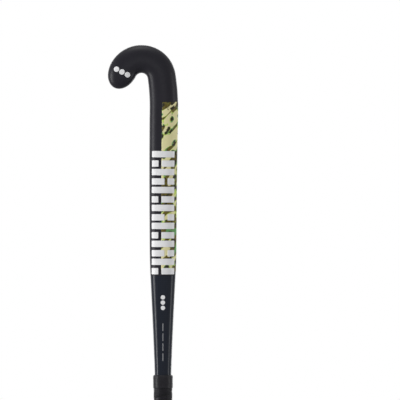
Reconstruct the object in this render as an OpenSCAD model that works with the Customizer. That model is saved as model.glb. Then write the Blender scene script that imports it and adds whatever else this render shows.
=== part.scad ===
// Field hockey stick: a hollow composite stick with a short hook, a gripped round handle
// and thin transfers on both sides.
// +Z runs up the shaft to the hook, the flat playing face looks towards -Y and the toe
// points towards +X. The origin is the centre of the flat butt end. Sizes are in mm.

/* [Stick] */
// Length from the butt end to the crown of the hook
stick_length = 927; // [770:1:1115]
// Width of the shaft where it meets the hook
shaft_width = 47.1; // [39:0.1:57]
// Width over the crown of the hook
crown_width = 46.2; // [38:0.1:55]
// Width where the rounded toe begins
toe_width = 46.5; // [38:0.1:56]
// Width at the knee, where the shaft begins to taper down to the handle
knee_width = 43.4; // [36:0.1:52]
// Width halfway down the taper
taper_width = 32.7; // [27:0.1:39]
// Width of the bare handle
handle_width = 26.8; // [22:0.1:32]
// Front to back depth of the bare handle
handle_depth = 25.6; // [21:0.1:31]
// Depth of the shaft and hook in front of their widest line
face_depth = 7; // [5:0.1:9]
// Depth of the shaft and hook behind their widest line
back_depth = 15.5; // [12:0.1:19]
// Depth of the knee in front of its widest line
knee_face_depth = 7.8; // [6:0.1:9]
// Depth of the knee behind its widest line
knee_back_depth = 14.7; // [12:0.1:18]
// Depth halfway down the taper, in front of its widest line
taper_face_depth = 9.9; // [8:0.1:12]

/* [Places, measured down from the crown] */
// Knee of the taper
knee_from_crown = 360; // [330:1:380]
// Middle of the taper
taper_from_crown = 470; // [440:1:490]
// End of the taper
handle_from_crown = 545; // [525:1:560]

/* [Hook] */
// Radius of the hook's centre line
hook_radius = 33.65; // [28:0.05:41]
// Angle that the hook turns through
hook_angle = 144.6; // [130:0.1:150]
// Radius of the bend that leads into the hook
neck_radius = 343; // [290:1:410]
// Angle of the bend that leads into the hook
neck_angle = 9.4; // [8:0.1:11]
// Radius of the slight sweep towards the heel
heel_radius = 12000; // [10000:100:14400]
// Angle of the slight sweep towards the heel
heel_angle = 0.81; // [0.6:0.01:1]
// Length of the rounded toe
toe_length = 32.7; // [27:0.1:39]

/* [Bow] */
// Slope that the bow gives the hook, as a rise over a run
bow_slope = 0.135; // [0.05:0.005:0.16]
// Distance of the bow's upper end below the crown
bow_end_from_crown = 107; // [90:1:130]
// Length over which the bow bends
bow_length = 390; // [320:1:400]

/* [Laminate and core] */
// Thickness of the outer shell
shell_wall = 2.6; // [2.1:0.1:3.2]
// Thickness of each inner tube
tube_wall = 1.3; // [1:0.1:1.6]
// Glue line between the laminates, and between foam and laminate
glue_line = 0.15; // [0.1:0.01:0.25]
// Distance of the tubes' upper ends below the bend of the neck
tube_end_before_neck = 4; // [2:1:30]
// Length of the plug in the handle's open end
plug_length = 45; // [36:1:55]

/* [Grip] */
// Thickness of the cushion grip at its crests
grip_thickness = 1.75; // [1.45:0.05:2.1]
// Depth of the groove where one turn of the grip meets the next
grip_groove = 0.5; // [0.4:0.05:0.6]
// Rise of the grip in one turn
grip_pitch = 26; // [22:1:31]
// Width of that groove as a share of one turn
groove_share = 0.22; // [0.15:0.01:0.3]
// Distance of the grip's upper end below the end of the taper
grip_below_taper = 1.5; // [0:0.5:10]
// Thickness of the adhesive underlay
underlay_thickness = 0.12; // [0.1:0.01:0.2]
// Clearance between wrapped layers
wrap_clearance = 0.04; // [0.03:0.01:0.06]
// Thickness of the finishing tape
collar_thickness = 0.75; // [0.6:0.05:0.9]
// Length of the finishing tape that lies on the grip
collar_length = 17.5; // [14:0.5:21]
// Length over which the finishing tape steps down to the bare shaft
shoulder_length = 3.6; // [3:0.1:4.4]

/* [End cap] */
// Thickness of the cap's flange
flange_thickness = 4; // [3.5:0.1:5]
// Radius of the rounding under the flange
flange_round = 2.5; // [2:0.1:3]
// Radius of the cap's spigot
spigot_radius = 5; // [4:0.1:6]
// Length of the cap's spigot above the flange
spigot_length = 22; // [18:0.5:26]
// Radial clearance of the spigot in the plug
spigot_clearance = 0.1; // [0.05:0.01:0.2]

/* [Transfers] */
// Thickness of a transfer
film_thickness = 0.1; // [0.08:0.01:0.15]
// Gap between a transfer and what it lies on
film_gap = 0.08; // [0.06:0.01:0.12]
// Upper end of the wrapped panel below the crown
panel_top_from_crown = 95; // [85:1:110]
// Length of the wrapped panel
panel_length = 278; // [230:1:290]
// Reach of the panel past the shaft's centre line on the back
panel_back_reach = 2.8; // [1:0.1:6]
// Reach of the panel past the shaft's centre line on the face
panel_face_reach = 3.7; // [1:0.1:6]
// Number of blocks in each block pattern
block_count = 7; // [5:1:7]
// Distance from one block to the next
block_pitch = 29.4; // [28.5:0.1:31]
// Height of one block
block_height = 25.8; // [22:0.1:26.5]
// Upper end of the block patterns below the crown
block_top_from_crown = 175.6; // [165:0.1:190]
// Width of the block patterns
block_width = 37; // [31:0.5:38]
// Gap between the pieces of one block
block_slot = 5; // [4:0.1:6]
// Width of the short piece of a block
short_piece = 11; // [9:0.1:13.5]
// Radius of the small dots on the shaft
dot_radius = 3.6; // [3:0.1:4.2]
// Distance from one dot on the shaft to the next
dot_pitch = 8.6; // [8.5:0.1:10.5]
// Radius of the dots on the hook
toe_dot_radius = 4.5; // [3.5:0.1:4.8]
// Distance from one dot on the hook to the next
toe_dot_pitch = 10.2; // [9.7:0.1:11]
// Middle dot on the shaft below the crown
shaft_dots_from_crown = 424; // [418:1:430]
// Distance of the dots on the hook past the place where the rounded toe begins
toe_dots_past_bend = 4; // [0:0.5:6]
// Upper end of the fine line on the back below the crown
back_line_from_crown = 458; // [452:1:464]
// Upper end of the fine line on the face below the crown
face_line_from_crown = 474; // [460:1:478]
// Lengths of the dashes of the fine line
dash_length = 12.6; // [10:0.1:14]
// Gap between dashes
dash_gap = 3.7; // [3:0.1:5]
// Width of the fine line
dash_width = 1.6; // [1.3:0.1:2]
// Number of dashes
dash_count = 4; // [2:1:4]

/* [Hidden] */

// Sides round a full section, and round half of one
sides = 36;
half_sides = sides / 2;
// Half of the length over which the tapers are smoothed, and the step of the smoothing
blend_reach = 24;
blend_step = 8;
// Roundness of the section: 2 is an ellipse, and a high value is a flat with round corners
handle_roundness = 2.3;
knee_flatness = 5;
face_flatness = 7;
back_roundness = 2.2;
// Places along the centre line, which starts at the butt
knee_s = stick_length - knee_from_crown;
taper_s = stick_length - taper_from_crown;
handle_s = stick_length - handle_from_crown;

// The bends after the straight shaft, as radius and angle; a negative radius bends to the heel
bends = [[-heel_radius, heel_angle], [neck_radius, neck_angle], [hook_radius, hook_angle]];
// Height of the crown above the end of the straight shaft, and the straight shaft's length
hook_base = bend_start(2, 0);
rise = hook_base[1] + hook_radius * (1 - cos(hook_base[2])) + crown_width / 2;
straight = stick_length - rise;
// Lengths along the centre line at which the neck, the hook, the crown and the toe begin
neck_s = bend_start(1, straight)[3];
hook_s = bend_start(2, straight)[3];
crown_s = hook_s + hook_radius * hook_base[2] * PI / 180;
toe_s = bend_start(3, straight)[3];

// Directions in the plane of the hook, for a heading in degrees above +X
function ahead(h) = [cos(h), sin(h)];
function right(h) = [sin(h), -cos(h)];

// Start of bend i as x, z, heading and length along the centre line
function bend_start(i, height) =
    i == 0 ? [0, height, 90, height] : after_bend(bend_start(i - 1, height), bends[i - 1]);
function after_bend(b, bend) = along_bend(b, bend[0], bend[1]);
function along_bend(b, r, turn) =
    let (h = b[2] - sign(r) * turn, p = r * (right(b[2]) - right(h)))
    [b[0] + p[0], b[1] + p[1], h, b[3] + abs(r) * turn * PI / 180];

// Point and heading of the centre line at length s
function line_at(s) =
    s <= straight ? [0, s, 90]
    : s <= neck_s ? on_bend(0, s)
    : s <= hook_s ? on_bend(1, s)
    : s <= toe_s ? on_bend(2, s)
    : let (b = bend_start(3, straight), d = (s - toe_s) * ahead(b[2])) [b[0] + d[0], b[1] + d[1], b[2]];
function on_bend(i, s) =
    let (b = bend_start(i, straight), r = bends[i][0]) along_bend(b, r, (s - b[3]) / abs(r) * 180 / PI);

// Value of a table at s, averaged over the blend length so that the tapers run smoothly
function blended(table, s) =
    let (v = [for (d = [-blend_reach : blend_step : blend_reach]) lookup(s + d, table)])
    v * [for (x = v) 1] / len(v);
function half_width(s) = blended([
    [handle_s, handle_width / 2], [taper_s, taper_width / 2], [knee_s, knee_width / 2],
    [neck_s, shaft_width / 2], [crown_s, crown_width / 2], [toe_s, toe_width / 2]], s);
function face_side(s) = blended([
    [handle_s, handle_depth / 2], [taper_s, taper_face_depth], [knee_s, knee_face_depth],
    [neck_s, face_depth]], s);
function back_side(s) = blended([
    [handle_s, handle_depth / 2], [knee_s, knee_back_depth], [neck_s, back_depth]], s);
function face_power(s) = blended([
    [handle_s, handle_roundness], [knee_s, knee_flatness], [neck_s, face_flatness]], s);
function back_power(s) = blended([[handle_s, handle_roundness], [knee_s, back_roundness]], s);

// Shift towards -Y that the bow gives a point at height z
function bow(z) =
    let (start = stick_length - bow_end_from_crown - bow_length, t = (z - start) / bow_length)
    t <= 0 ? 0
    : t < 1 ? bow_slope * bow_length * (t ^ 3 - t ^ 4 / 2)
    : bow_slope * (bow_length / 2 + z - start - bow_length);

// Superellipse: the height left at share t of the half width
function rim(t, power) = (1 - min(abs(t), 1) ^ power) ^ (1 / power);
function share(t, power) = sign(t) * abs(t) ^ (2 / power);

// Point at length s, across u and depth v from the widest line, in the stick's frame
function place(s, u, v) =
    let (c = line_at(s), p = [c[0], c[1]] + u * right(c[2]))
    [p[0], v + (face_side(s) - back_side(s)) / 2 - bow(p[1]), p[1]];

// Depth of the surface at across u, grown by off; side is 1 for the back and -1 for the face
function depth_at(s, u, off, side) =
    let (t = max(0, s - toe_s) / (toe_length + off),
         w = (half_width(s) + off) * sqrt(1 - t ^ 2),
         power = side > 0 ? back_power(s) : face_power(s))
    side * ((side > 0 ? back_side(s) : face_side(s)) + off) * rim(t, power) * rim(u / w, power);
// Angle round the section at which the surface stands at across u
function angle_at(s, u, off, side) =
    let (w = half_width(s) + off, power = side > 0 ? back_power(s) : face_power(s))
    side * acos(sign(u) * (abs(u) / w) ^ (power / 2));
// Across u at which the surface stands at an angle round the section
function u_at(s, a, side) =
    half_width(s) * share(cos(a), side > 0 ? back_power(s) : face_power(s));

// Point of the section at angle a, grown by off; t runs from 0 to 1 along the rounded toe
function section_point(s, a, off, t) =
    let (back = sin(a) >= 0,
         power = back ? back_power(s) : face_power(s),
         depth = (back ? back_side(s) : face_side(s)) + off)
    place(s + t * (toe_length + off), (half_width(s) + off) * sqrt(1 - t ^ 2) * share(cos(a), power),
          depth * rim(t, power) * share(sin(a), power));
function section(s, off, t = 0) =
    [for (i = [0 : sides - 1]) section_point(s, i * 360 / sides, off, t)];

// Half of a section for one inner tube: side is 1 towards the toe and -1 towards the heel
function half_section(s, off, web, side) =
    [for (i = [0 : half_sides])
        let (a = -side * 90 + i * 180 / half_sides,
             back = sin(a) >= 0,
             power = back ? back_power(s) : face_power(s),
             depth = (back ? back_side(s) : face_side(s)) + off)
        place(s, side * (web + (half_width(s) + off - web) * abs(cos(a)) ^ (2 / power)),
              depth * share(sin(a), power))];

// Loops of the rounded toe, from its start to its tip
toe_steps = 9;
function toe_loops(off) = [for (k = [1 : toe_steps]) section(toe_s, off, sin(k * 88 / toe_steps))];

// Values from a to b in steps of about the given size
function steps(a, b, size) =
    let (n = max(1, round(abs(b - a) / size))) [for (k = [0 : n]) a + (b - a) * k / n];
// Lengths at which the outer sections lie, and the coarser ones of the hollow
function outer_steps(first) = concat(
    [first, (first + handle_s) / 2], steps(handle_s - blend_reach, knee_s + blend_reach, 17),
    steps(knee_s + 2 * blend_reach, neck_s, 34), neck_steps(), steps(hook_s, toe_s, 4.3));
function inner_steps(first, fine) = concat(
    [first], steps(handle_s - blend_reach, knee_s + blend_reach, 34),
    steps(knee_s + 3 * blend_reach, neck_s, 60), neck_steps(), steps(hook_s, toe_s, fine));
function neck_steps() = steps(neck_s + neck_step, hook_s - neck_step, neck_step);
neck_step = 14;

// Closed solid through a list of loops with equal numbers of points; strip caps suit thin loops
module skin(loops, strip = false) {
    n = len(loops[0]);
    last = (len(loops) - 1) * n;
    walls = [for (k = [0 : n : last - 1], i = [0 : n - 1])
        let (a = k + i, b = k + (i + 1) % n)
        each [[a, b + n, b], [a, a + n, b + n]]];
    cap = [for (i = [0 : n - 3]) strip ? strip_triangle(i, n) : [0, i + 1, i + 2]];
    top_cap = [for (t = cap) [last + t[2], last + t[1], last + t[0]]];
    polyhedron([for (loop = loops) each loop], concat(cap, walls, top_cap), convexity = 6);
}
// Triangle i of the strip between the two long sides of a thin loop of n points
function strip_triangle(i, n) =
    let (j = floor(i / 2))
    i % 2 == 0 ? [j, j + 1, n - 1 - j] : [j + 1, n - 2 - j, n - 1 - j];

// Ring-shaped solid through loops of which the last joins the first
module ring(loops) {
    n = len(loops[0]);
    m = len(loops);
    walls = [for (k = [0 : m - 1], i = [0 : n - 1])
        let (a = k * n + i, b = k * n + (i + 1) % n, c = (k + 1) % m * n)
        each [[a, c + (i + 1) % n, b], [a, c + i, c + (i + 1) % n]]];
    polyhedron([for (loop = loops) each loop], walls, convexity = 6);
}
function reversed(list) = [for (i = [len(list) - 1 : -1 : 0]) list[i]];

// Thin film on the shell: stations are length, lowest u and highest u; side is 1 on the back.
// Layer 0 lies on the shell, and layer 1 lies high enough to cross the wrap panel.
module patch(stations, side, cells, layer) {
    low = film_gap + layer * (film_gap + film_thickness);
    skin([for (q = stations)
        let (a1 = angle_at(q[0], q[side > 0 ? 2 : 1], 0, side),
             a2 = angle_at(q[0], q[side > 0 ? 1 : 2], 0, side),
             across = [for (i = [0 : cells]) u_at(q[0], a1 + (a2 - a1) * i / cells, side)])
        concat([for (u = across) film_point(q[0], u, low + film_thickness, side)],
               [for (u = reversed(across)) film_point(q[0], u, low, side)])], strip = true);
}
function film_point(s, u, off, side) = place(s, u, depth_at(s, u, off, side));

// Round dot of a transfer, centred at length s and across u
module dot(s, u, side, radius) {
    patch([for (a = [170 : -32 : 10])
        let (chord = radius * sin(a))
        [s + radius * cos(a), u - chord, u + chord]], side, 2, 0);
}
// Rectangle of a transfer from length s upwards, between two places across
module block(s, height, u1, u2, side, layer) {
    patch([[s, u1, u2], [s + height, u1, u2]], side, ceil((u2 - u1) / 4.2), layer);
}

// Row of blocks: each has a full bar above a long and a short piece, which change sides
module block_pattern(side) {
    half = block_width / 2;
    bar = (block_height - block_slot) / 2;
    for (k = [0 : block_count - 1]) {
        s = stick_length - block_top_from_crown - block_height - k * block_pitch;
        left = k % 2 == 0 ? block_width - block_slot - short_piece : short_piece;
        block(s + bar + block_slot, bar, -half, half, side, 1);
        block(s, bar, -half, left - half, side, 1);
        block(s, bar, left + block_slot - half, half, side, 1);
    }
}
module shaft_dots(side) {
    for (k = [-1 : 1])
        dot(stick_length - shaft_dots_from_crown + k * dot_pitch, 0, side, dot_radius);
}
module toe_dots(side) {
    for (k = [-1 : 1])
        dot(toe_s + toe_dots_past_bend, k * toe_dot_pitch, side, toe_dot_radius);
}
module fine_line(from_crown, side) {
    for (k = [0 : dash_count - 1])
        block(stick_length - from_crown - dash_length - k * (dash_length + dash_gap), dash_length,
              -dash_width / 2, dash_width / 2, side, 0);
}

// Outer shell: a laminate skin, open at the butt and closed round the toe
butt_s = flange_thickness + wrap_clearance;
module shell() {
    outer = concat([for (s = outer_steps(butt_s)) section(s, 0)], toe_loops(0));
    inner = concat([for (s = inner_steps(butt_s, 6)) section(s, -shell_wall)], toe_loops(-shell_wall));
    color([0.13, 0.14, 0.17]) skin(concat(reversed(inner), outer));
}

// Inner tubes: two hollow laminates side by side, whose flat sides form the shaft's centre web
core_off = -shell_wall - glue_line;
tube_start = butt_s + plug_length + glue_line;
tube_end = neck_s - tube_end_before_neck;
module inner_tube(side) {
    web = glue_line / 2;
    outer = [for (s = tube_steps(tube_end)) half_section(s, core_off, web, side)];
    inner = [for (s = tube_steps(tube_end - tube_wall))
        half_section(s, core_off - tube_wall, web + tube_wall, side)];
    color([0.25, 0.25, 0.27]) skin(concat(reversed(inner), outer));
}
function tube_steps(last) = concat(
    [tube_start], steps(handle_s - blend_reach, knee_s + blend_reach, 34),
    steps(knee_s + 3 * blend_reach, last, 60));
module heel_tube() {
    inner_tube(-1);
}
module toe_tube() {
    inner_tube(1);
}

// Head core: foam that fills the hook and its neck
module head_core() {
    first = tube_end + glue_line;
    places = concat([first], neck_steps(), steps(hook_s, toe_s, 6));
    color([0.85, 0.8, 0.65])
        skin(concat([for (s = places) section(s, core_off)], toe_loops(core_off)));
}

// Butt plug: foam that closes the handle, bored for the cap's spigot
module butt_plug() {
    color([0.85, 0.8, 0.65]) difference() {
        translate([0, 0, butt_s]) linear_extrude(plug_length)
            polygon([for (p = section(butt_s, core_off)) [p[0], p[1]]]);
        translate([0, 0, butt_s - 1])
            cylinder(r = spigot_radius + spigot_clearance, h = spigot_length + 2, $fn = 64);
    }
}

// End cap: a round flange as wide as the grip, with a rounded lower edge, and a spigot
module end_cap() {
    flange_radius = handle_width / 2 + grip_outer;
    color([0.1, 0.1, 0.11]) rotate_extrude($fn = 96) polygon(concat(
        [[0, 0]],
        [for (a = [-90 : 15 : 0])
            [flange_radius - flange_round + flange_round * cos(a), flange_round + flange_round * sin(a)]],
        [[flange_radius, flange_thickness], [spigot_radius, flange_thickness],
         [spigot_radius, flange_thickness + spigot_length], [0, flange_thickness + spigot_length]]));
}

// Grip underlay: adhesive tape round the bare handle
grip_top = handle_s - grip_below_taper;
underlay_off = wrap_clearance + underlay_thickness;
module grip_underlay() {
    places = [butt_s, handle_s - blend_reach, grip_top];
    color([0.8, 0.78, 0.7]) ring(concat(
        [for (s = places) section(s, underlay_off)],
        [for (s = reversed(places)) section(s, wrap_clearance)]));
}

// Cushion grip: one strip wound up the handle, with a groove where its turns meet
grip_inner = underlay_off + wrap_clearance;
grip_outer = grip_inner + grip_thickness;
// Places of the groove's bottom and of the crest's two edges within one turn, as shares
strip_rows = [0, groove_share / 2, 1 - groove_share / 2];
// Plain band of grip below the first groove and above the last
grip_margin = 2;
module cushion_grip() {
    n = sides;
    rows = len(strip_rows);
    first = butt_s + grip_margin;
    turns = floor((grip_top - grip_margin - first) / grip_pitch) - 1;
    m = turns * rows + 1;
    // Point in row k of the strip and column i round the handle
    function strip_point(k, i) =
        let (turn = floor(k / rows) + strip_rows[k % rows] + i / n,
             off = grip_outer - (k % rows == 0 ? grip_groove : 0))
        section_point(first + grip_pitch * turn, i * 360 / n, off, 0);
    points = concat(
        [for (k = [0 : m - 1], i = [0 : n - 1]) strip_point(k, i)],
        section(butt_s, grip_outer), section(butt_s, grip_inner),
        section(handle_s - blend_reach, grip_inner),
        section(grip_top, grip_inner), section(grip_top, grip_outer));
    top = (m - 1) * n;
    foot = m * n;
    crest = foot + 4 * n;
    // Index of a point; past the last column the strip carries on one turn higher
    function at(k, i) = i < n ? k * n + i : (k + rows) * n;
    strip = [for (k = [0 : m - 2], i = [0 : n - 1]) if (i < n - 1 || k + rows < m - 1)
        each [[at(k, i), at(k + 1, i + 1), at(k, i + 1)], [at(k, i), at(k + 1, i), at(k + 1, i + 1)]]];
    lower = [for (i = [0 : n - 2]) each [[foot + i, i + 1, foot + i + 1], [foot + i, i, i + 1]]];
    upper = [for (i = [0 : n - 2])
        each [[top + i, crest + i + 1, top + i + 1], [top + i, crest + i, crest + i + 1]]];
    // Triangles that close the step between the first and the last column at both ends
    lower_step = [for (k = [-1 : rows]) [n - 1, k < 0 ? foot : at(k, 0),
        k < 0 ? foot + n - 1 : k == 0 ? foot : at(k - 1, 0)]];
    upper_step = concat([[top, crest + n - 1, crest], [top, top + n - 1, crest + n - 1]],
        [for (k = [1 : rows]) [top, at(m - 1 - k, n - 1), at(m - k, n - 1)]]);
    // The two flat ends and the inside, between the five plain loops
    ends = [for (loop = [0 : 3], i = [0 : n - 1])
        let (a = foot + loop * n, b = a + n, j = (i + 1) % n)
        each [[a + i, a + j, b + j], [a + i, b + j, b + i]]];
    color([0.1, 0.1, 0.11])
        polyhedron(points, concat(strip, lower, lower_step, upper, upper_step, ends), convexity = 6);
}

// Finishing tape: a collar over the grip's upper end that steps down to the bare shaft
module finishing_tape() {
    under = grip_outer + wrap_clearance;
    over = under + collar_thickness;
    low = grip_top - collar_length;
    lip = wrap_clearance + collar_thickness / 3;
    profile = concat(
        [[low, over]],
        [for (a = [0 : 22.5 : 90]) [grip_top + shoulder_length * sin(a), lip + (over - lip) * cos(a)]],
        [[grip_top + shoulder_length, wrap_clearance], [grip_top + wrap_clearance, wrap_clearance],
         [grip_top + wrap_clearance, under], [low, under]]);
    color([0.12, 0.12, 0.13]) ring([for (p = profile) section(p[0], p[1])]);
}

// Wrap panel: a printed film that wraps the heel edge from the back to the face
module wrap_panel() {
    high = stick_length - panel_top_from_crown;
    color([0.8, 0.78, 0.55]) skin([for (s = steps(high - panel_length, high, 17))
        concat(panel_edge(s, film_gap + film_thickness), reversed(panel_edge(s, film_gap)))], strip = true);
}
function panel_edge(s, off) =
    let (back = angle_at(s, panel_back_reach, off, 1), face = 360 + angle_at(s, panel_face_reach, off, -1))
    [for (a = concat(steps(back, 180, 9), [for (a = steps(180, 268, 9)) if (a > 180) a], [face]))
        section_point(s, a, off, 0)];

module back_blocks() {
    color([0.86, 0.86, 0.86]) block_pattern(1);
}
module face_blocks() {
    color([0.86, 0.86, 0.86]) block_pattern(-1);
}
module back_toe_dots() {
    color([0.95, 0.95, 0.95]) toe_dots(1);
}
module face_toe_dots() {
    color([0.95, 0.95, 0.95]) toe_dots(-1);
}
module back_shaft_dots() {
    color([0.95, 0.95, 0.95]) shaft_dots(1);
}
module face_shaft_dots() {
    color([0.95, 0.95, 0.95]) shaft_dots(-1);
}
module back_fine_line() {
    color([0.45, 0.45, 0.47]) fine_line(back_line_from_crown, 1);
}
module face_fine_line() {
    color([0.45, 0.45, 0.47]) fine_line(face_line_from_crown, -1);
}

shell();
heel_tube();
toe_tube();
head_core();
butt_plug();
end_cap();
grip_underlay();
cushion_grip();
finishing_tape();
wrap_panel();
back_blocks();
face_blocks();
back_toe_dots();
face_toe_dots();
back_shaft_dots();
face_shaft_dots();
back_fine_line();
face_fine_line();
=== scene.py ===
"""Field hockey stick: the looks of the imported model, in the frame's metres.

The stick stands on its butt with the hook up. Its rounded back faces +Y, its flat
playing face -Y, and its toe points towards +X.
"""

import math

import bpy
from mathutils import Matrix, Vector

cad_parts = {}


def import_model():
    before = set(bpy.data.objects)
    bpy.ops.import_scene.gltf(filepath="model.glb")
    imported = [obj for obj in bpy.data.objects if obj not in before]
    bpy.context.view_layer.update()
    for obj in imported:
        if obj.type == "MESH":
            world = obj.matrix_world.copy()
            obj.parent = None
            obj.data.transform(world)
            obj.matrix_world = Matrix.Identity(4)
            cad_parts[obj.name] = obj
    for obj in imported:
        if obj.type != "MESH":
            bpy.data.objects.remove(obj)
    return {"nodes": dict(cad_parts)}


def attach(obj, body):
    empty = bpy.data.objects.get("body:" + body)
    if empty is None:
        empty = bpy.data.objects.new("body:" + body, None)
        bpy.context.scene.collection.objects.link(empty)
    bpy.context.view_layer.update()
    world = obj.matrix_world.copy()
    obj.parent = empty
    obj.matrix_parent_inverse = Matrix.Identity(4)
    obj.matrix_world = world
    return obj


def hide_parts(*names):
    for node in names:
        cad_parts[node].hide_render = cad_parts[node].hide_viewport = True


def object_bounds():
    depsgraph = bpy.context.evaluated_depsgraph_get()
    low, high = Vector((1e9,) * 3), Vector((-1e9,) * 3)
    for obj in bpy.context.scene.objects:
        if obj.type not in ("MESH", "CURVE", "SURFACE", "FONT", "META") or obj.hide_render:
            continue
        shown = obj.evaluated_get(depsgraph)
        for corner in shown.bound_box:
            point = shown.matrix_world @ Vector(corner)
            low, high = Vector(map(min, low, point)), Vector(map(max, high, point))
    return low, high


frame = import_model()
cad_low, cad_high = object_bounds()

MM = 0.001
LENGTH = round(cad_high.z, 3)

# The stick's driving sizes, as the construction has them, in metres
HANDLE_WIDTH, TAPER_WIDTH, KNEE_WIDTH = 26.8 * MM, 32.7 * MM, 43.4 * MM
SHAFT_WIDTH, CROWN_WIDTH, TOE_WIDTH = 47.1 * MM, 46.2 * MM, 46.5 * MM
HANDLE_DEPTH = 25.6 * MM
FACE_DEPTH, KNEE_FACE_DEPTH, TAPER_FACE_DEPTH = 7 * MM, 7.8 * MM, 9.9 * MM
BACK_DEPTH, KNEE_BACK_DEPTH = 15.5 * MM, 14.7 * MM
HANDLE_ROUNDNESS, BACK_ROUNDNESS = 2.3, 2.2
KNEE_FLATNESS, FACE_FLATNESS = 5, 7
TOE_LENGTH = 32.7 * MM
HOOK_RADIUS = 33.65 * MM
# Each bend of the centre line as radius and angle; a negative radius bends to the heel
BENDS = ((-12000 * MM, 0.81), (343 * MM, 9.4), (HOOK_RADIUS, 144.6))
BOW_SLOPE, BOW_LENGTH, BOW_END = 0.135, 390 * MM, LENGTH - 107 * MM
BLEND = [k * 8 * MM for k in range(-3, 4)]
KNEE_S, TAPER_S, HANDLE_S = LENGTH - 360 * MM, LENGTH - 470 * MM, LENGTH - 545 * MM


# ---- Shape of the stick -------------------------------------------------------------------

def ahead(heading):
    return Vector((math.cos(math.radians(heading)), math.sin(math.radians(heading))))


def right(heading):
    return Vector((math.sin(math.radians(heading)), -math.cos(math.radians(heading))))


def along_bend(start, radius, turn):
    """Place (point, heading, length) after turning by an angle from a place."""
    point, heading, length = start
    new = heading - math.copysign(turn, radius)
    return (point + radius * (right(heading) - right(new)), new,
            length + abs(radius) * math.radians(turn))


def bend_starts(straight):
    """Start of each bend and the end of the last, as (point, heading, length)."""
    places = [(Vector((0, straight)), 90.0, straight)]
    for radius, turn in BENDS:
        places.append(along_bend(places[-1], radius, turn))
    return places


hook_point, hook_heading, _ = bend_starts(0)[2]
HOOK_RISE = HOOK_RADIUS * (1 - math.cos(math.radians(hook_heading)))
RISE = hook_point.y + HOOK_RISE + CROWN_WIDTH / 2
PLACES = bend_starts(LENGTH - RISE)
NECK_S, HOOK_S, TOE_S = (place[2] for place in PLACES[1:])
CROWN_S = HOOK_S + HOOK_RADIUS * math.radians(hook_heading)


def line_at(s):
    """Point (x, z) and heading of the centre line at length s."""
    if s <= PLACES[0][2]:
        return Vector((0, s)), 90.0
    for (radius, _), start, end in zip(BENDS, PLACES, PLACES[1:]):
        if s <= end[2]:
            return along_bend(start, radius, math.degrees((s - start[2]) / abs(radius)))[:2]
    point, heading, length = PLACES[-1]
    return point + (s - length) * ahead(heading), heading


def lookup(s, table):
    """Value at s in a table of (s, value) pairs, on straight lines between them."""
    if s <= table[0][0]:
        return table[0][1]
    for (s1, v1), (s2, v2) in zip(table, table[1:]):
        if s <= s2:
            return v1 + (v2 - v1) * (s - s1) / (s2 - s1)
    return table[-1][1]


def blended(s, table):
    """Table value with its corners rounded over the blend's length."""
    return sum(lookup(s + d, table) for d in BLEND) / len(BLEND)


def bow(z):
    """Shift towards -Y that the bow gives a point at height z."""
    t = (z - BOW_END + BOW_LENGTH) / BOW_LENGTH
    if t <= 0:
        return 0.0
    if t < 1:
        return BOW_SLOPE * BOW_LENGTH * (t ** 3 - t ** 4 / 2)
    return BOW_SLOPE * (BOW_LENGTH / 2 + z - BOW_END)


def rim(t, power):
    """Share of the depth that a superellipse keeps at share t of its width."""
    return (1 - min(abs(t), 1) ** power) ** (1 / power)


def share(t, power):
    """A circle's cosine or sine turned into a superellipse's."""
    return math.copysign(abs(t) ** (2 / power), t)


class Section:
    """The stick's cross-section at length s along its centre line."""

    def __init__(self, s):
        self.s = s
        self.point, self.heading = line_at(s)
        self.width = blended(s, (
            (HANDLE_S, HANDLE_WIDTH / 2), (TAPER_S, TAPER_WIDTH / 2), (KNEE_S, KNEE_WIDTH / 2),
            (NECK_S, SHAFT_WIDTH / 2), (CROWN_S, CROWN_WIDTH / 2), (TOE_S, TOE_WIDTH / 2)))
        self.face = blended(s, (
            (HANDLE_S, HANDLE_DEPTH / 2), (TAPER_S, TAPER_FACE_DEPTH), (KNEE_S, KNEE_FACE_DEPTH),
            (NECK_S, FACE_DEPTH)))
        self.back = blended(s, (
            (HANDLE_S, HANDLE_DEPTH / 2), (KNEE_S, KNEE_BACK_DEPTH), (NECK_S, BACK_DEPTH)))
        self.face_power = blended(s, (
            (HANDLE_S, HANDLE_ROUNDNESS), (KNEE_S, KNEE_FLATNESS), (NECK_S, FACE_FLATNESS)))
        self.back_power = blended(s, ((HANDLE_S, HANDLE_ROUNDNESS), (KNEE_S, BACK_ROUNDNESS)))

    def place(self, u, v, advance=0.0):
        """Point at across u and depth v from the widest line."""
        p = self.point + advance * ahead(self.heading) + u * right(self.heading)
        return (p.x, v + (self.face - self.back) / 2 - bow(p.y), p.y)

    def around(self, angle, off, t=0.0):
        """Point at an angle round the section, grown by off; t runs along the rounded toe."""
        c, s = math.cos(math.radians(angle)), math.sin(math.radians(angle))
        power = self.back_power if s >= 0 else self.face_power
        depth = (self.back if s >= 0 else self.face) + off
        u = (self.width + off) * math.sqrt(1 - t * t) * share(c, power)
        return self.place(u, depth * rim(t, power) * share(s, power), t * (TOE_LENGTH + off))

    def on_surface(self, u, off, side):
        """Point at across u on the back (side 1) or the face (side -1), grown by off."""
        power = self.back_power if side > 0 else self.face_power
        depth = (self.back if side > 0 else self.face) + off
        t = max(0.0, self.s - TOE_S) / (TOE_LENGTH + off)
        across = u / (self.width + off) / math.sqrt(1 - t * t)
        return self.place(u, side * depth * rim(t, power) * rim(across, power))

    def angle_at(self, u, off, side):
        power = self.back_power if side > 0 else self.face_power
        share_across = math.copysign((abs(u) / (self.width + off)) ** (power / 2), u)
        return side * math.degrees(math.acos(share_across))


# ---- Mesh builders -------------------------------------------------------------------------

def steps(a, b, size):
    """Even steps from a to b, each about as long as size."""
    n = max(1, round(abs(b - a) / size))
    return [a + (b - a) * k / n for k in range(n + 1)]


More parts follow.
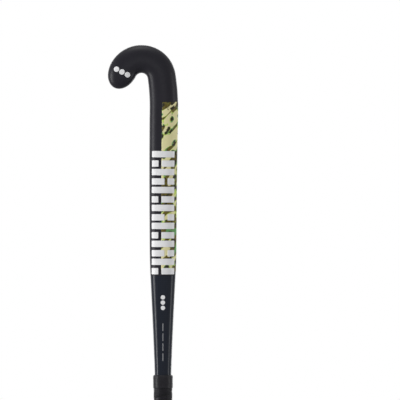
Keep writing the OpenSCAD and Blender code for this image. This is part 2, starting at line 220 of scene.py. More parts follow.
def make_object(name, points, faces, body="root", slot=None, node=None, material=None):
    mesh = bpy.data.meshes.new(name)
    mesh.from_pydata(points, [], faces)
    mesh.validate()
    mesh.shade_smooth()
    piece = bpy.data.objects.new(name, mesh)
    bpy.context.scene.collection.objects.link(piece)
    if material:
        mesh.materials.append(material)
    if slot:
        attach(piece, body)
    if node:
        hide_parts(node)
    return piece


def ring_faces(count, n):
    """Quads between count rings of n points each."""
    return [(k * n + i, k * n + (i + 1) % n, (k + 1) * n + (i + 1) % n, (k + 1) * n + i)
            for k in range(count - 1) for i in range(n)]


def loop_faces(count, n):
    """Quads between count rings, of which the last joins the first."""
    return [(k * n + i, k * n + (i + 1) % n,
             (k + 1) % count * n + (i + 1) % n, (k + 1) % count * n + i)
            for k in range(count) for i in range(n)]


def set_uv(mesh, name, corner_uv):
    """Fills a UV map: corner_uv(face index, corner index) gives the place of each corner."""
    layer = mesh.uv_layers.new(name=name)
    for face in mesh.polygons:
        for corner, loop in enumerate(face.loop_indices):
            layer.data[loop].uv = corner_uv(face.index, corner)


def ring_uv(mesh, heights, n, columns):
    """Lays the wall of a ring-built mesh out flat for baking, in columns side by side.

    Corners of a quad are in the order of ring_faces; heights are the rings' places along.
    Faces past the wall, such as end caps, take the last ring's place.
    """
    rows = len(heights) - 1
    firsts = [math.ceil(c * rows / columns) for c in range(columns + 1)]
    tallest = max(heights[min(b, rows)] - heights[a] for a, b in zip(firsts, firsts[1:]))

    def corner_uv(face, corner):
        k, i = min(face // n, rows - 1), face % n
        column = max(c for c in range(columns) if firsts[c] <= k)
        row = min(k + (corner in (2, 3)), rows)
        across = (i + (corner in (1, 2))) / n
        up = (heights[row] - heights[firsts[column]]) / tallest
        return ((column + 0.02 + 0.96 * across) / columns, 0.01 + 0.98 * up)

    set_uv(mesh, "OFBake", corner_uv)


def film(stations, side, cells, low, thickness):
    """Thin closed film that follows the surface; stations are length, lowest u, highest u."""
    points, n = [], cells + 1
    for off in (low + thickness, low):
        for s, u1, u2 in stations:
            section = Section(s)
            for i in range(n):
                t = i / cells if side < 0 else 1 - i / cells
                points.append(section.on_surface(u1 + (u2 - u1) * t, off, side))
    rows, layer = len(stations), len(stations) * n
    faces = []
    for k in range(rows - 1):
        for i in range(cells):
            a = k * n + i
            faces.append((a, a + 1, a + n + 1, a + n))
            faces.append((layer + a + n, layer + a + n + 1, layer + a + 1, layer + a))
    for k in range(rows - 1):
        for i, flip in ((0, False), (cells, True)):
            a = k * n + i
            wall = (a, a + n, layer + a + n, layer + a)
            faces.append(wall[::-1] if flip else wall)
    for k, flip in ((0, True), (rows - 1, False)):
        for i in range(cells):
            a = k * n + i
            wall = (a, a + 1, layer + a + 1, layer + a)
            faces.append(wall[::-1] if flip else wall)
    return points, faces


def joined(parts):
    """Points and faces of several meshes as one."""
    points, faces = [], []
    for more_points, more_faces in parts:
        base = len(points)
        points += more_points
        faces += [tuple(i + base for i in face) for face in more_faces]
    return points, faces


# ---- Materials -----------------------------------------------------------------------------

class Paint:
    """A material's node tree, with short calls for the nodes that it uses."""

    def __init__(self, name, **constants):
        self.material = bpy.data.materials.new(name)
        self.material.use_nodes = True
        self.nodes, self.links = self.material.node_tree.nodes, self.material.node_tree.links
        self.shader = self.nodes["Principled BSDF"]
        for key, value in constants.items():
            self.shader.inputs[key.replace("_", " ")].default_value = value
        self.normal = None

    def node(self, kind, inputs=(), output=0, **settings):
        made = self.nodes.new(kind)
        for key, value in settings.items():
            setattr(made, key, value)
        for key, value in dict(inputs).items():
            if isinstance(value, bpy.types.NodeSocket):
                self.links.new(value, made.inputs[key])
            else:
                made.inputs[key].default_value = value
        return made.outputs[output]

    def object_place(self):
        return self.node("ShaderNodeTexCoord", output="Object")

    def uv(self, name):
        return self.node("ShaderNodeUVMap", uv_map=name)

    def scaled(self, vector, scale, turn=0.0):
        """The vector turned about Z by an angle and then scaled along each axis."""
        turned = self.node("ShaderNodeMapping", {
            "Vector": vector, "Rotation": (0, 0, math.radians(turn))})
        return self.node("ShaderNodeVectorMath", {0: turned, 1: scale}, operation="MULTIPLY")

    def noise(self, vector, scale, detail=2.0, roughness=0.5, distortion=0.0):
        return self.node("ShaderNodeTexNoise", {
            "Vector": vector, "Scale": scale, "Detail": detail, "Roughness": roughness,
            "Distortion": distortion})

    def cells(self, vector, scale, feature="F1", randomness=1.0):
        return self.node("ShaderNodeTexVoronoi", {
            "Vector": vector, "Scale": scale, "Randomness": randomness},
            output="Distance", feature=feature)

    def math(self, operation, a, b=0.0, clamp=False):
        return self.node("ShaderNodeMath", {0: a, 1: b}, operation=operation, use_clamp=clamp)

    def span(self, value, low, high, new_low=0.0, new_high=1.0):
        """Value mapped from one span to another, and held inside it."""
        return self.node("ShaderNodeMapRange", {
            "Value": value, "From Min": low, "From Max": high,
            "To Min": new_low, "To Max": new_high})

    def mix(self, share_of_b, a, b):
        made = self.nodes.new("ShaderNodeMix")
        made.data_type = "RGBA"
        for index, value in ((0, share_of_b), (6, a), (7, b)):
            if isinstance(value, bpy.types.NodeSocket):
                self.links.new(value, made.inputs[index])
            else:
                color = (*value, 1.0) if isinstance(value, tuple) else value
                made.inputs[index].default_value = color
        return made.outputs[2]

    def axis(self, vector, name):
        return self.node("ShaderNodeSeparateXYZ", {0: vector}, output="XYZ".index(name))

    def weave(self, vector, scale=900):
        """Twill of crossing rovings, seen faintly through dark lacquer."""
        x, z = self.axis(vector, "X"), self.axis(vector, "Z")
        rows = self.math("SINE", self.math("MULTIPLY", self.math("ADD", x, z), scale))
        columns = self.math("SINE", self.math("MULTIPLY", self.math("SUBTRACT", x, z), scale))
        return self.span(self.math("MULTIPLY", rows, columns), -1, 1)

    def bump(self, height, distance, strength=1.0):
        inputs = {"Height": height, "Distance": distance, "Strength": strength}
        if self.normal:
            inputs["Normal"] = self.normal
        self.normal = self.node("ShaderNodeBump", inputs)
        self.links.new(self.normal, self.shader.inputs["Normal"])

    def set(self, **sockets):
        for key, value in sockets.items():
            self.links.new(value, self.shader.inputs[key.replace("_", " ")])
        return self.material


BLACK, NAVY = (0.0074, 0.0069, 0.0110), (0.0034, 0.0060, 0.0128)
GRAPHICS_END = LENGTH - 380 * MM


def lacquer():
    """Sandy satin black over the hook and shaft, and glossy navy below the graphics."""
    p = Paint("lacquer", Specular_IOR_Level=0.16)
    place = p.object_place()
    glossy = p.span(p.axis(place, "Z"), GRAPHICS_END + 0.2 * MM, GRAPHICS_END - 0.2 * MM)
    sand = p.noise(place, 1900, detail=3, roughness=0.7)
    cloud = p.noise(place, 38, detail=4)
    weave = p.weave(place)
    mottle = p.noise(place, 230, detail=4, roughness=0.65)
    tone = p.math("ADD", p.math("MULTIPLY", mottle, 0.6), p.math("MULTIPLY", cloud, 0.4))
    dull = p.mix(tone, tuple(0.72 * c for c in BLACK), tuple(1.30 * c for c in BLACK))
    # Painted glints: the sand's tips are painted paler and bluish in the satin black.
    grain = p.span(sand, 0.62, 0.74)
    dull = p.mix(p.math("MULTIPLY", grain, 0.35), dull, (0.034, 0.036, 0.046))
    deep = p.mix(cloud, tuple(0.85 * c for c in NAVY), tuple(1.15 * c for c in NAVY))
    deep = p.mix(p.math("MULTIPLY", weave, 0.25), deep, (0.017, 0.021, 0.033))
    scratches = p.noise(p.scaled(place, (260, 260, 22)), 1.0, detail=5, roughness=0.75)
    scuff = p.span(scratches, 0.62, 0.72)
    dull_rough = p.span(tone, 0.35, 0.65, 0.34, 0.44)
    wear = p.math("ADD", p.math("MULTIPLY", cloud, 0.8), p.math("MULTIPLY", scuff, 0.3))
    deep_rough = p.span(wear, 0.3, 0.8, 0.20, 0.30)
    roughness = p.node("ShaderNodeMix", {0: glossy, 2: dull_rough, 3: deep_rough})
    p.bump(p.math("MULTIPLY", sand, p.span(glossy, 0, 1, 1.0, 0.12)), 0.05 * MM, 0.6)
    p.bump(p.math("MULTIPLY", mottle, p.span(glossy, 0, 1, 1.0, 0.0)), 0.25 * MM, 0.4)
    p.bump(cloud, 0.25 * MM, 0.25)
    return p.set(Base_Color=p.mix(glossy, dull, deep), Roughness=roughness)


PANEL_LOW, PANEL_HIGH, SLANT = LENGTH - 373 * MM, LENGTH - 95 * MM, -40
CREAM, OLIVE, COAL = (0.690, 0.640, 0.340), (0.082, 0.062, 0.010), (0.020, 0.018, 0.006)
LIME, LEAF = (0.480, 0.620, 0.120), (0.110, 0.290, 0.095)


def woodland_print():
    """Blotched print: slanting olive blots and dark drops on cream, with green rims."""
    p = Paint("woodland_print", Specular_IOR_Level=0.15)
    flat = p.uv("Film")
    height = p.axis(flat, "Y")
    fine = p.noise(p.object_place(), 1500, detail=2)
    wobble = p.noise(flat, 150, detail=2)
    blots = p.noise(p.scaled(flat, (88, 27, 1), SLANT), 1.0, detail=1.6, distortion=0.55)
    drops = p.cells(p.scaled(flat, (106, 68, 1), SLANT + 8), 1.0, randomness=0.85)
    rims = p.noise(p.scaled(flat, (70, 34, 1), SLANT - 12), 1.0, detail=1.5)
    # Blots crowd at the top end and along the middle, and leave a pale band with drops between
    top = p.span(height, PANEL_HIGH - 22 * MM, PANEL_HIGH - 7 * MM, 0.0, 0.17)
    middle = p.span(height, PANEL_HIGH - 95 * MM, PANEL_HIGH - 72 * MM, 0.09, -0.06)
    foot = p.span(height, PANEL_LOW + 14 * MM, PANEL_LOW + 40 * MM, -0.08, 0.0)
    cover = blots
    for share_of_height in (top, middle, foot):
        cover = p.math("ADD", cover, share_of_height)
    body = p.span(cover, 0.512, 0.520)
    body_rim = p.math("SUBTRACT", p.span(cover, 0.478, 0.486), body, clamp=True)
    uneven = p.math("ADD", drops, p.math("MULTIPLY", p.math("SUBTRACT", wobble, 0.5), 0.35))
    drop = p.math("MULTIPLY", p.span(uneven, 0.37, 0.35), p.span(rims, 0.35, 0.37))
    drop_rim = p.math("SUBTRACT", p.span(uneven, 0.46, 0.44), p.span(uneven, 0.37, 0.35),
                      clamp=True)
    lit = p.span(rims, 0.45, 0.47)
    streak = p.math("MULTIPLY", p.span(rims, 0.585, 0.595), body)
    color = p.mix(p.math("MULTIPLY", wobble, 0.4), CREAM, (0.74, 0.71, 0.42))
    color = p.mix(p.math("MULTIPLY", body_rim, lit), color, LIME)
    green = p.mix(p.span(wobble, 0.48, 0.52), LEAF, LIME)
    color = p.mix(p.math("MULTIPLY", drop_rim, lit), color, green)
    brown = p.mix(p.span(wobble, 0.46, 0.54), OLIVE, (0.118, 0.098, 0.018))
    color = p.mix(body, color, brown)
    color = p.mix(streak, color, LEAF)
    color = p.mix(drop, color, COAL)
    color = p.mix(p.math("MULTIPLY", p.span(fine, 0.35, 0.65), 0.10), color, (0.05, 0.05, 0.03))
    p.bump(fine, 0.02 * MM, 0.4)
    return p.set(Base_Color=color, Roughness=p.span(fine, 0.3, 0.7, 0.36, 0.46))


def transfer_ink(name, color, dark):
    """Screen-printed ink under lacquer: a fine grain and faint cloudiness."""
    p = Paint(name, Specular_IOR_Level=0.35)
    place = p.object_place()
    fine, cloud = p.noise(place, 1700, detail=2), p.noise(place, 55, detail=3)
    tone = p.math("ADD", p.math("MULTIPLY", fine, 0.35), p.math("MULTIPLY", cloud, 0.65))
    p.bump(fine, 0.02 * MM, 0.35)
    return p.set(Base_Color=p.mix(p.span(tone, 0.35, 0.65), dark, color),
                 Roughness=p.span(tone, 0.35, 0.65, 0.36, 0.48))


def laminate():
    """Bare black laminate inside: plain weave in clear resin."""
    p = Paint("laminate", Specular_IOR_Level=0.4)
    place = p.object_place()
    weave, fine = p.weave(place, 2400), p.noise(place, 600, detail=3)
    p.bump(weave, 0.05 * MM, 0.5)
    return p.set(Base_Color=p.mix(weave, (0.020, 0.020, 0.023), (0.042, 0.042, 0.047)),
                 Roughness=p.span(fine, 0.3, 0.7, 0.42, 0.62))


def foam():
    """Pale closed-cell foam with fine pores."""
    p = Paint("foam", Specular_IOR_Level=0.3)
    place = p.object_place()
    pores, cloud = p.cells(place, 1100), p.noise(place, 60, detail=3)
    p.bump(pores, 0.2 * MM, 0.6)
    # Painted shade: the foam is darker down in its pores; the cloudiness on top is its own uneven
    # tone.
    tone = p.math("ADD", p.math("MULTIPLY", pores, 0.6), p.math("MULTIPLY", cloud, 0.4))
    return p.set(Base_Color=p.mix(tone, (0.58, 0.50, 0.34), (0.80, 0.73, 0.54)),
                 Roughness=p.span(cloud, 0.3, 0.7, 0.82, 0.95))


def adhesive():
    """Off-white fibrous tape that carries the glue under the grip."""
    p = Paint("adhesive")
    place = p.object_place()
    fibre, cloud = p.noise(p.scaled(place, (700, 700, 90)), 1.0, detail=4), p.noise(place, 70)
    p.bump(fibre, 0.04 * MM, 0.5)
    return p.set(Base_Color=p.mix(fibre, (0.60, 0.57, 0.48), (0.74, 0.71, 0.62)),
                 Roughness=p.span(cloud, 0.3, 0.7, 0.55, 0.75))


def cap_rubber():
    """Moulded black rubber with a fine spark-eroded grain, scuffed paler in places."""
    p = Paint("cap_rubber", Specular_IOR_Level=0.15)
    place = p.object_place()
    grain, cloud = p.noise(place, 2200, detail=3, roughness=0.7), p.noise(place, 160, detail=4)
    scuff = p.span(p.noise(p.scaled(place, (900, 260, 900), 30), 1.0, detail=4), 0.60, 0.72)
    color = p.mix(cloud, (0.0135, 0.0135, 0.0150), (0.0235, 0.0235, 0.0255))
    p.bump(grain, 0.06 * MM, 0.6)
    return p.set(Base_Color=p.mix(p.math("MULTIPLY", scuff, 0.35), color, (0.060, 0.060, 0.062)),
                 Roughness=p.span(cloud, 0.3, 0.7, 0.58, 0.74))


GRIP_PITCH, GRIP_GIRTH, GRIP_FIRST = 26 * MM, 84 * MM, 6.04 * MM


def grip_cushion():
    """Black polyurethane cushion: a pebbled skin, rubbed smoother along the crest, with painted
    shade between the pebbles and a painted sheen on the rubbed patches.
    """
    p = Paint("grip_cushion", Specular_IOR_Level=0.15)
    place, film = p.object_place(), p.uv("Film")
    pebble = p.cells(film, 700)
    fine = p.noise(place, 2400, detail=2)
    creases = p.noise(p.scaled(film, (60, 330, 1), 17), 1.0, detail=3, roughness=0.6)
    cloud = p.noise(place, 75, detail=4)
    rubbed_and_sheen = p.span(p.math("ADD", p.math("MULTIPLY", cloud, 0.6), p.math("MULTIPLY", creases, 0.4)),
                    0.48, 0.62)
    # Painted shade: the skin is darker in the hollows between the pebbles.
    color = p.mix(p.span(pebble, 0.1, 0.7), (0.0072, 0.0068, 0.0098), (0.0030, 0.0028, 0.0044))
    # Rubbed patches are smoother, which is wear, and painted lighter, which is a painted sheen.
    color = p.mix(p.math("MULTIPLY", rubbed_and_sheen, 0.4), color, (0.0120, 0.0115, 0.0150))
    turn = p.math("SUBTRACT", p.math("DIVIDE", p.axis(film, "Y"), GRIP_PITCH),
                  p.math("DIVIDE", p.axis(film, "X"), GRIP_GIRTH))
    from_seam = p.math("PINGPONG", p.math("SUBTRACT", turn, GRIP_FIRST / GRIP_PITCH), 0.5)
    seam_and_shade = p.span(from_seam, 0.030, 0.010)
    # Painted shade: the groove where the turns meet is drawn as a dark line.
    color = p.mix(seam_and_shade, color, (0.0016, 0.0016, 0.0020))
    p.bump(p.math("SUBTRACT", 1.0, pebble), 0.38 * MM, 0.9)
    p.bump(creases, 0.5 * MM, 0.7)
    p.bump(fine, 0.03 * MM, 0.4)
    p.bump(p.math("SUBTRACT", 1.0, seam_and_shade), 0.3 * MM, 0.8)
    return p.set(Base_Color=color, Roughness=p.span(rubbed_and_sheen, 0, 1, 0.52, 0.28))


def finishing_tape():
    """Stretched black vinyl tape: a satin skin with fine lines that run round the handle."""
    p = Paint("finishing_tape", Specular_IOR_Level=0.18)
    place = p.object_place()
    stretch = p.noise(p.scaled(place, (45, 45, 900)), 1.0, detail=4, roughness=0.6)
    wrinkle = p.noise(p.scaled(place, (55, 55, 170)), 1.0, detail=3, distortion=0.6)
    fine = p.noise(place, 1800, detail=2)
    p.bump(stretch, 0.10 * MM, 0.5)
    p.bump(wrinkle, 0.60 * MM, 0.6)
    # Painted shade: the tape is darker in the hollows of its wrinkles and lighter on their ridges.
    color = p.mix(p.span(wrinkle, 0.3, 0.7), (0.0046, 0.0043, 0.0064), (0.0082, 0.0077, 0.0106))
    return p.set(Base_Color=color, Roughness=p.span(fine, 0.3, 0.7, 0.34, 0.46))


def pale_floor():
    """Matt pale grey floor with a faint cloudiness."""
    p = Paint("pale_floor")
    place = p.object_place()
    cloud, fine = p.noise(place, 3, detail=3), p.noise(place, 220, detail=2)
    p.bump(fine, 0.2 * MM, 0.15)
    return p.set(Base_Color=p.mix(cloud, (0.80, 0.80, 0.80), (0.84, 0.84, 0.84)),
                 Roughness=p.span(fine, 0.3, 0.7, 0.75, 0.85))


# ---- Pieces --------------------------------------------------------------------------------

AROUND = 96
CAP_GAP, WALL = 4.04 * MM, 2.6 * MM
GRIP_TOP, GRIP_INNER, GRIP_OUTER = LENGTH - 546.5 * MM, 0.20 * MM, 1.95 * MM
# Places of the rings along the rounded toe, closer together near its tip
TOE_SHARES = [math.sin(math.radians(90 * k / 18)) for k in range(1, 18)]


def full_ring(section, off, n, t=0.0):
    """All n points round a section, grown by off; t runs along the rounded toe."""
    return [section.around(360 * i / n, off, t) for i in range(n)]


def shell():
    """Skin with an even wall, from the butt over the hook to the rounded toe."""
    places = (steps(CAP_GAP, GRIP_TOP - 30 * MM, 30 * MM)
              + steps(GRIP_TOP - 27 * MM, NECK_S, 3 * MM)[1:]
              + steps(NECK_S, HOOK_S, 2.2 * MM)[1:] + steps(HOOK_S, TOE_S, 1.5 * MM)[1:])
    toe = Section(TOE_S)
    points = []
    for off in (0.0, -WALL):
        for s in places:
            points += full_ring(Section(s), off, AROUND)
        for t in TOE_SHARES:
            points += full_ring(toe, off, AROUND, t)
    points += [toe.around(0, off, 1.0) for off in (0.0, -WALL)]
    heights = places + [TOE_S + t * TOE_LENGTH for t in TOE_SHARES]
    count = len(heights)
    last, layer, tip = (count - 1) * AROUND, count * AROUND, 2 * count * AROUND
    wall, edge = ring_faces(count, AROUND), [(i, (i + 1) % AROUND) for i in range(AROUND)]
    faces = wall + [(last + a, last + b, tip) for a, b in edge]
    faces += [tuple(layer + j for j in face[::-1]) for face in wall]
    faces += [(layer + last + b, layer + last + a, tip + 1) for a, b in edge]
    faces += [(b, a, layer + a, layer + b) for a, b in edge]
    piece = make_object("shell_skin", points, faces, slot="lacquered_laminate", node="shell",
                        material=lacquer())
    ring_uv(piece.data, heights, AROUND, 4)
    return piece


PANEL_BACK_REACH, PANEL_FACE_REACH, PANEL_CORNER = 2.8 * MM, 3.7 * MM, 2.2 * MM
FILM_LOW, FILM_THICKNESS, FILM_LAYER = 0.08 * MM, 0.1 * MM, 0.18 * MM


def rounded_ends(low, high, radius, size):
    """Lengths from low to high with the inset that rounded corners give at each."""
    arc = [math.radians(90 * k / 6) for k in range(6)]
    ends = [(radius * (1 - math.cos(a)), radius * (1 - math.sin(a))) for a in arc]
    middle = [(s, 0.0) for s in steps(low + radius, high - radius, size)]
    return ([(low + rise, inset) for rise, inset in ends] + middle
            + [(high - rise, inset) for rise, inset in reversed(ends)])


def wrap_panel():
    """Printed film from the back round the heel edge to the face."""
    back_cells, face_cells = 26, 34
    rows = rounded_ends(PANEL_LOW, PANEL_HIGH, PANEL_CORNER, 2.4 * MM)
    points, flat = [], []
    for off in (FILM_LOW + FILM_THICKNESS, FILM_LOW):
        for s, inset in rows:
            section = Section(s)
            back = section.angle_at(PANEL_BACK_REACH - inset, off, 1)
            face = 360 + section.angle_at(PANEL_FACE_REACH - inset, off, -1)
            angles = ([back + (180 - back) * k / back_cells for k in range(back_cells)]
                      + [180 + (face - 180) * (k / face_cells) for k in range(face_cells + 1)])
            line = [Vector(section.around(a, off)) for a in angles]
            lengths = [0.0]
            for a, b in zip(line, line[1:]):
                lengths.append(lengths[-1] + (b - a).length)
            points += line
            flat += [(lengths[back_cells] - length, s) for length in lengths]
    n = back_cells + face_cells + 1
    layer = len(rows) * n
    faces = []
    for k in range(len(rows) - 1):
        for i in range(n - 1):
            a = k * n + i
            faces.append((a, a + 1, a + n + 1, a + n))
            faces.append((layer + a, layer + a + n, layer + a + n + 1, layer + a + 1))
        for a, flip in ((k * n, False), (k * n + n - 1, True)):
            wall = (a, a + n, layer + a + n, layer + a)
            faces.append(wall[::-1] if flip else wall)
    for base, flip in ((0, True), (layer - n, False)):
        for a in range(base, base + n - 1):
            wall = (a, a + 1, layer + a + 1, layer + a)
            faces.append(wall[::-1] if flip else wall)
    piece = make_object("wrap_panel_film", points, faces, slot="printed_panel", node="wrap_panel",
                        material=woodland_print())
    mesh = piece.data
    arcs = [arc for arc, _ in flat]
    first, wide = min(arcs), max(arcs) - min(arcs)
    half = (PANEL_HIGH - PANEL_LOW) / 2

    def place(face, corner):
        return flat[mesh.polygons[face].vertices[corner]]

    def bake_uv(face, corner):
        arc, s = place(face, corner)
        column = int(sum(place(face, c)[1] for c in range(4)) / 4 - PANEL_LOW > half)
        return ((column + 0.02 + 0.96 * (arc - first) / wide) / 2,
                0.01 + 0.97 * (s - PANEL_LOW - column * half) / half)

    set_uv(mesh, "Film", place)
    set_uv(mesh, "OFBake", bake_uv)
    return piece


BLOCK_TOP, BLOCK_HEIGHT, BLOCK_PITCH = LENGTH - 175.6 * MM, 25.8 * MM, 29.4 * MM
BLOCK_WIDTH, BLOCK_SLOT, SHORT_BAR = 37 * MM, 5 * MM, 11 * MM
TOE_DOT_S, TOE_DOT_PITCH, TOE_DOT_RADIUS = TOE_S + 4 * MM, 10.2 * MM, 4.5 * MM
SHAFT_DOT_S, SHAFT_DOT_PITCH, SHAFT_DOT_RADIUS = LENGTH - 424 * MM, 8.6 * MM, 3.6 * MM
DASH_LENGTH, DASH_PITCH, DASH_HALF_WIDTH = 12.6 * MM, 16.3 * MM, 0.8 * MM


def bar(low, high, u1, u2, side):
    """Printed bar with softened corners, on the layer above the wrap panel."""
    rows = rounded_ends(low, high, 0.9 * MM, 2.1 * MM)
    return film([(s, u1 + inset, u2 - inset) for s, inset in rows], side,
                max(6, round((u2 - u1) / (1.1 * MM))), FILM_LOW + FILM_LAYER, FILM_THICKNESS)


def blocks(side):
    """Seven blocks, each a long bar over two short ones that swap sides from block to block."""
    half, tall = BLOCK_WIDTH / 2, (BLOCK_HEIGHT - BLOCK_SLOT) / 2
    parts = []
    for k in range(7):
        s = BLOCK_TOP - BLOCK_HEIGHT - k * BLOCK_PITCH
        left = BLOCK_WIDTH - BLOCK_SLOT - SHORT_BAR if k % 2 == 0 else SHORT_BAR
        parts.append(bar(s + tall + BLOCK_SLOT, s + BLOCK_HEIGHT, -half, half, side))
        parts.append(bar(s, s + tall, -half, left - half, side))
        parts.append(bar(s, s + tall, left + BLOCK_SLOT - half, half, side))
    return joined(parts)


def dot(s, u, side, radius):
    """Printed round dot."""
    rows = [math.radians(172 - 8.2 * k) for k in range(21)]
    return film([(s + radius * math.cos(a), u - radius * math.sin(a), u + radius * math.sin(a))
                 for a in rows], side, 12, FILM_LOW, FILM_THICKNESS)


def dash(from_crown, k, side):
    """The k-th dash, counted down the shaft, of a fine line that starts below the crown."""
    low, half = LENGTH - from_crown - DASH_LENGTH - k * DASH_PITCH, DASH_HALF_WIDTH
    rows = rounded_ends(low, low + DASH_LENGTH, 0.5 * MM, 1.2 * MM)
    return film([(s, -half + inset, half - inset) for s, inset in rows], side, 6,
                FILM_LOW, FILM_THICKNESS)


def transfers():
    """White blocks and dots and grey dashes, once on the back and once on the face."""
    white = transfer_ink("white_ink", (0.735, 0.735, 0.745), (0.665, 0.665, 0.675))
    grey = transfer_ink("grey_ink", (0.215, 0.215, 0.225), (0.150, 0.150, 0.160))
    for side, name, line in ((1, "back", 458 * MM), (-1, "face", 474 * MM)):
        toe_dots = [dot(TOE_DOT_S, k * TOE_DOT_PITCH, side, TOE_DOT_RADIUS) for k in (-1, 0, 1)]
        shaft_dots = [dot(SHAFT_DOT_S + k * SHAFT_DOT_PITCH, 0.0, side, SHAFT_DOT_RADIUS)
                      for k in (-1, 0, 1)]
        dashes = [dash(line, k, side) for k in range(4)]
        for kind, (points, faces), ink in (
                ("blocks", blocks(side), white), ("toe_dots", joined(toe_dots), white),
                ("shaft_dots", joined(shaft_dots), white), ("fine_line", joined(dashes), grey)):
            slot = "grey_transfer" if ink is grey else "white_transfer"
            make_object(f"{name}_{kind}_ink", points, faces, slot=slot,
                        node=f"{name}_{kind}", material=ink)


def finishing_collar():
    """Tape wound over the grip's end, with a soft shoulder and the step of its last turn."""
    n, low, shoulder, gap = 120, GRIP_TOP - 17.5 * MM, 3.6 * MM, 0.04 * MM
    over, under, lip, soft = 2.74 * MM, 1.99 * MM, 0.29 * MM, 0.25 * MM
    overlap, wrinkles = 0.11 * MM, 0.05 * MM
    profile = [(low, under), (low, over - soft), (low + soft, over)]
    profile += [(s, over) for s in steps(low + 0.9 * MM, GRIP_TOP - 0.4 * MM, 0.65 * MM)]
    profile += [(GRIP_TOP + shoulder * math.sin(a), lip + (over - lip) * math.cos(a))
                for a in (math.radians(7.5 * k) for k in range(13))]
    profile += [(GRIP_TOP + shoulder, gap), (GRIP_TOP + gap, gap), (GRIP_TOP + gap, under)]
    points = []
    for s, off in profile:
        section = Section(s)
        for i in range(n):
            turn = i / n
            edge = (s - low - 2 * MM) / (9 * MM) - turn
            step = min(max((edge - math.floor(edge)) * 14, 0.0), 1.0) - 1
            ripple = (math.sin(17 * math.tau * turn + 900 * s)
                      * math.sin(5 * math.tau * turn - 420 * s))
            sink = overlap * step - wrinkles * (1 + ripple) if off > 1.2 * under else 0.0
            points.append(section.around(360 * turn, off + sink))
    return make_object("finishing_collar", points, loop_faces(len(profile), n),
                       slot="finishing_tape", node="finishing_tape", material=finishing_tape())


def cushion():
    """Padded strip wound up the handle, which dips in a groove where its turns meet."""
    n, turns = 112, 13
    # Half the groove's width in turns, its depth, the sag of the strip's middle and edges, and
    # the rounding at the cap
    half_groove, depth, sag, rounding = 0.11, 0.5 * MM, 0.10 * MM, 0.45 * MM
    places = steps(CAP_GAP, GRIP_TOP, 1.3 * MM)
    points, flat = [], []
    for s in places:
        section = Section(s)
        for i in range(n):
            turn = (s - GRIP_FIRST) / GRIP_PITCH - i / n
            away = abs(turn - round(turn)) / half_groove
            dip = depth * (1 - min(away, 1)) ** 1.3 if -0.2 < turn < turns + 0.2 else 0.0
            dished = sag * math.cos(math.pi * min(away * half_groove * 2, 1)) ** 2
            end = rounding * max(0.0, 1 - (s - CAP_GAP) / (1.6 * MM)) ** 2
            points.append(section.around(360 * i / n, GRIP_OUTER - dip - dished - end))
            flat.append((i / n * GRIP_GIRTH, s))
    inside = [GRIP_TOP, GRIP_TOP - 22.5 * MM, CAP_GAP]
    for s in inside:
        points += full_ring(Section(s), GRIP_INNER, n)
        flat += [(i / n * GRIP_GIRTH, s) for i in range(n)]
    piece = make_object("cushion_grip_skin", points, loop_faces(len(places) + len(inside), n),
                        slot="grip_cushion", node="cushion_grip", material=grip_cushion())
    mesh = piece.data

    def film_uv(face, corner):
        arc, s = flat[mesh.polygons[face].vertices[corner]]
        wraps = face % n == n - 1 and corner in (1, 2)
        return (GRIP_GIRTH if wraps else arc, s)

    set_uv(mesh, "Film", film_uv)
    ring_uv(mesh, places, n, 2)
    return piece


def cap():
    """Round rubber cap with a softened rim and a spigot that fills the plug's bore."""
    n, radius, thick, soft = 96, 15.35 * MM, 4 * MM, 2.5 * MM
    spigot, top, bevel, chamfer = 5 * MM, 26 * MM, 0.3 * MM, 0.7 * MM
    profile = [(2 * MM, 0.0), (8 * MM, 0.0), (radius - soft - 0.6 * MM, 0.0)]
    profile += [(radius - soft + soft * math.sin(a), soft - soft * math.cos(a))
                for a in (math.radians(9 * k) for k in range(11))]
    profile += [(radius, thick - bevel), (radius - bevel, thick), (spigot + bevel, thick),
                (spigot, thick + bevel), (spigot, top - chamfer), (spigot - chamfer, top),
                (2 * MM, top)]
    points = [(r * math.cos(math.tau * i / n), r * math.sin(math.tau * i / n), z)
              for r, z in profile for i in range(n)]
    last = (len(profile) - 1) * n
    faces = ring_faces(len(profile), n)
    faces.append(tuple(reversed(range(n))))
    faces.append(tuple(range(last, last + n)))
    return make_object("cap_rubber_moulding", points, faces, slot="cap_rubber", node="end_cap",
                       material=cap_rubber())


shell()
wrap_panel()
transfers()
finishing_collar()
cushion()
cap()

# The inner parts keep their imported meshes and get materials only
for names, material in ((("heel_tube", "toe_tube"), laminate()),
                        (("head_core", "butt_plug"), foam()), (("grip_underlay",), adhesive())):
    for node_name in names:
        node_materials = frame["nodes"][node_name].data.materials
        node_materials.clear()
        node_materials.append(material)


# ---- Floor, light and camera ---------------------------------------------------------------

def floor():
    """Round pale floor under the butt."""
    n, radius = 128, 1.45
    points = [(radius * math.cos(math.tau * i / n), radius * math.sin(math.tau * i / n), 0)
              for i in range(n)]
    make_object("studio_floor", points, [tuple(range(n))], material=pale_floor())


AMBIENT = 0.36


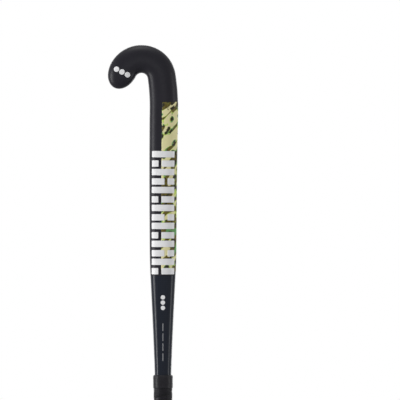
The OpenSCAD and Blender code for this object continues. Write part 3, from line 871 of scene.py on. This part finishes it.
def world():
    """Soft grey light all round, and a white background for camera, gloss and glass."""
    made = bpy.data.worlds.new("studio_world")
    bpy.context.scene.world = made
    made.use_nodes = True
    nodes, links = made.node_tree.nodes, made.node_tree.links
    rays = nodes.new("ShaderNodeLightPath")
    seen = rays.outputs["Is Camera Ray"]
    for ray in ("Is Glossy Ray", "Is Transmission Ray"):
        either = nodes.new("ShaderNodeMath")
        either.operation = "MAXIMUM"
        links.new(seen, either.inputs[0])
        links.new(rays.outputs[ray], either.inputs[1])
        seen = either.outputs[0]
    mix = nodes.new("ShaderNodeMix")
    links.new(seen, mix.inputs["Factor"])
    mix.inputs["A"].default_value, mix.inputs["B"].default_value = AMBIENT, 1.0
    links.new(mix.outputs["Result"], nodes["Background"].inputs["Color"])


# All softboxes face this place on the shaft
MIDDLE = Vector((0, 0, 0.66))
# Azimuth and elevation in degrees, distance, width and height in metres, and watts
SOFTBOXES = {
    "toe_side_strip": (109, 2, 2.2, 0.60, 1.7, 42),
    "heel_side_strip": (250, 4, 2.2, 0.38, 1.7, 15),
    "face_heel_strip": (332, 2, 2.2, 0.30, 1.7, 8),
    "face_toe_strip": (30, 4, 2.2, 0.30, 1.7, 5),
    "back_fill": (180, 17, 2.9, 0.8, 0.6, 4.5),
    "face_fill": (0, 17, 2.9, 0.8, 0.6, 6),
    "top_light": (90, 86, 1.9, 0.9, 0.9, 9),
}


def softbox(name, azimuth, elevation, distance, width, height, watts):
    """Rectangular lamp; azimuth 0 stands before the face and 90 at the toe's side."""
    a, e = math.radians(azimuth), math.radians(elevation)
    direction = Vector((math.sin(a) * math.cos(e), -math.cos(a) * math.cos(e), math.sin(e)))
    lamp = bpy.data.lights.new(name, "AREA")
    lamp.shape, lamp.size, lamp.size_y, lamp.energy = "RECTANGLE", width, height, watts
    holder = bpy.data.objects.new(name, lamp)
    holder.location = MIDDLE + distance * direction
    holder.rotation_euler = direction.to_track_quat("Z", "Y").to_euler()
    bpy.context.scene.collection.objects.link(holder)


def camera():
    """Level long-lens view of the back, in which the handle runs out of the frame below."""
    distance, view_width, to_heel, below_crown = 6.0, 0.656, -0.0607, 0.256
    lens = bpy.data.cameras.new("studio_camera")
    lens.sensor_width = 36
    lens.lens = lens.sensor_width * distance / view_width
    holder = bpy.data.objects.new("studio_camera", lens)
    holder.location = (to_heel, distance, LENGTH - below_crown)
    holder.rotation_euler = (math.pi / 2, 0, math.pi)
    bpy.context.scene.collection.objects.link(holder)
    bpy.context.scene.camera = holder


floor()
world()
for box_name, numbers in SOFTBOXES.items():
    softbox(box_name, *numbers)
camera()
bpy.context.scene.view_settings.view_transform = "Standard"
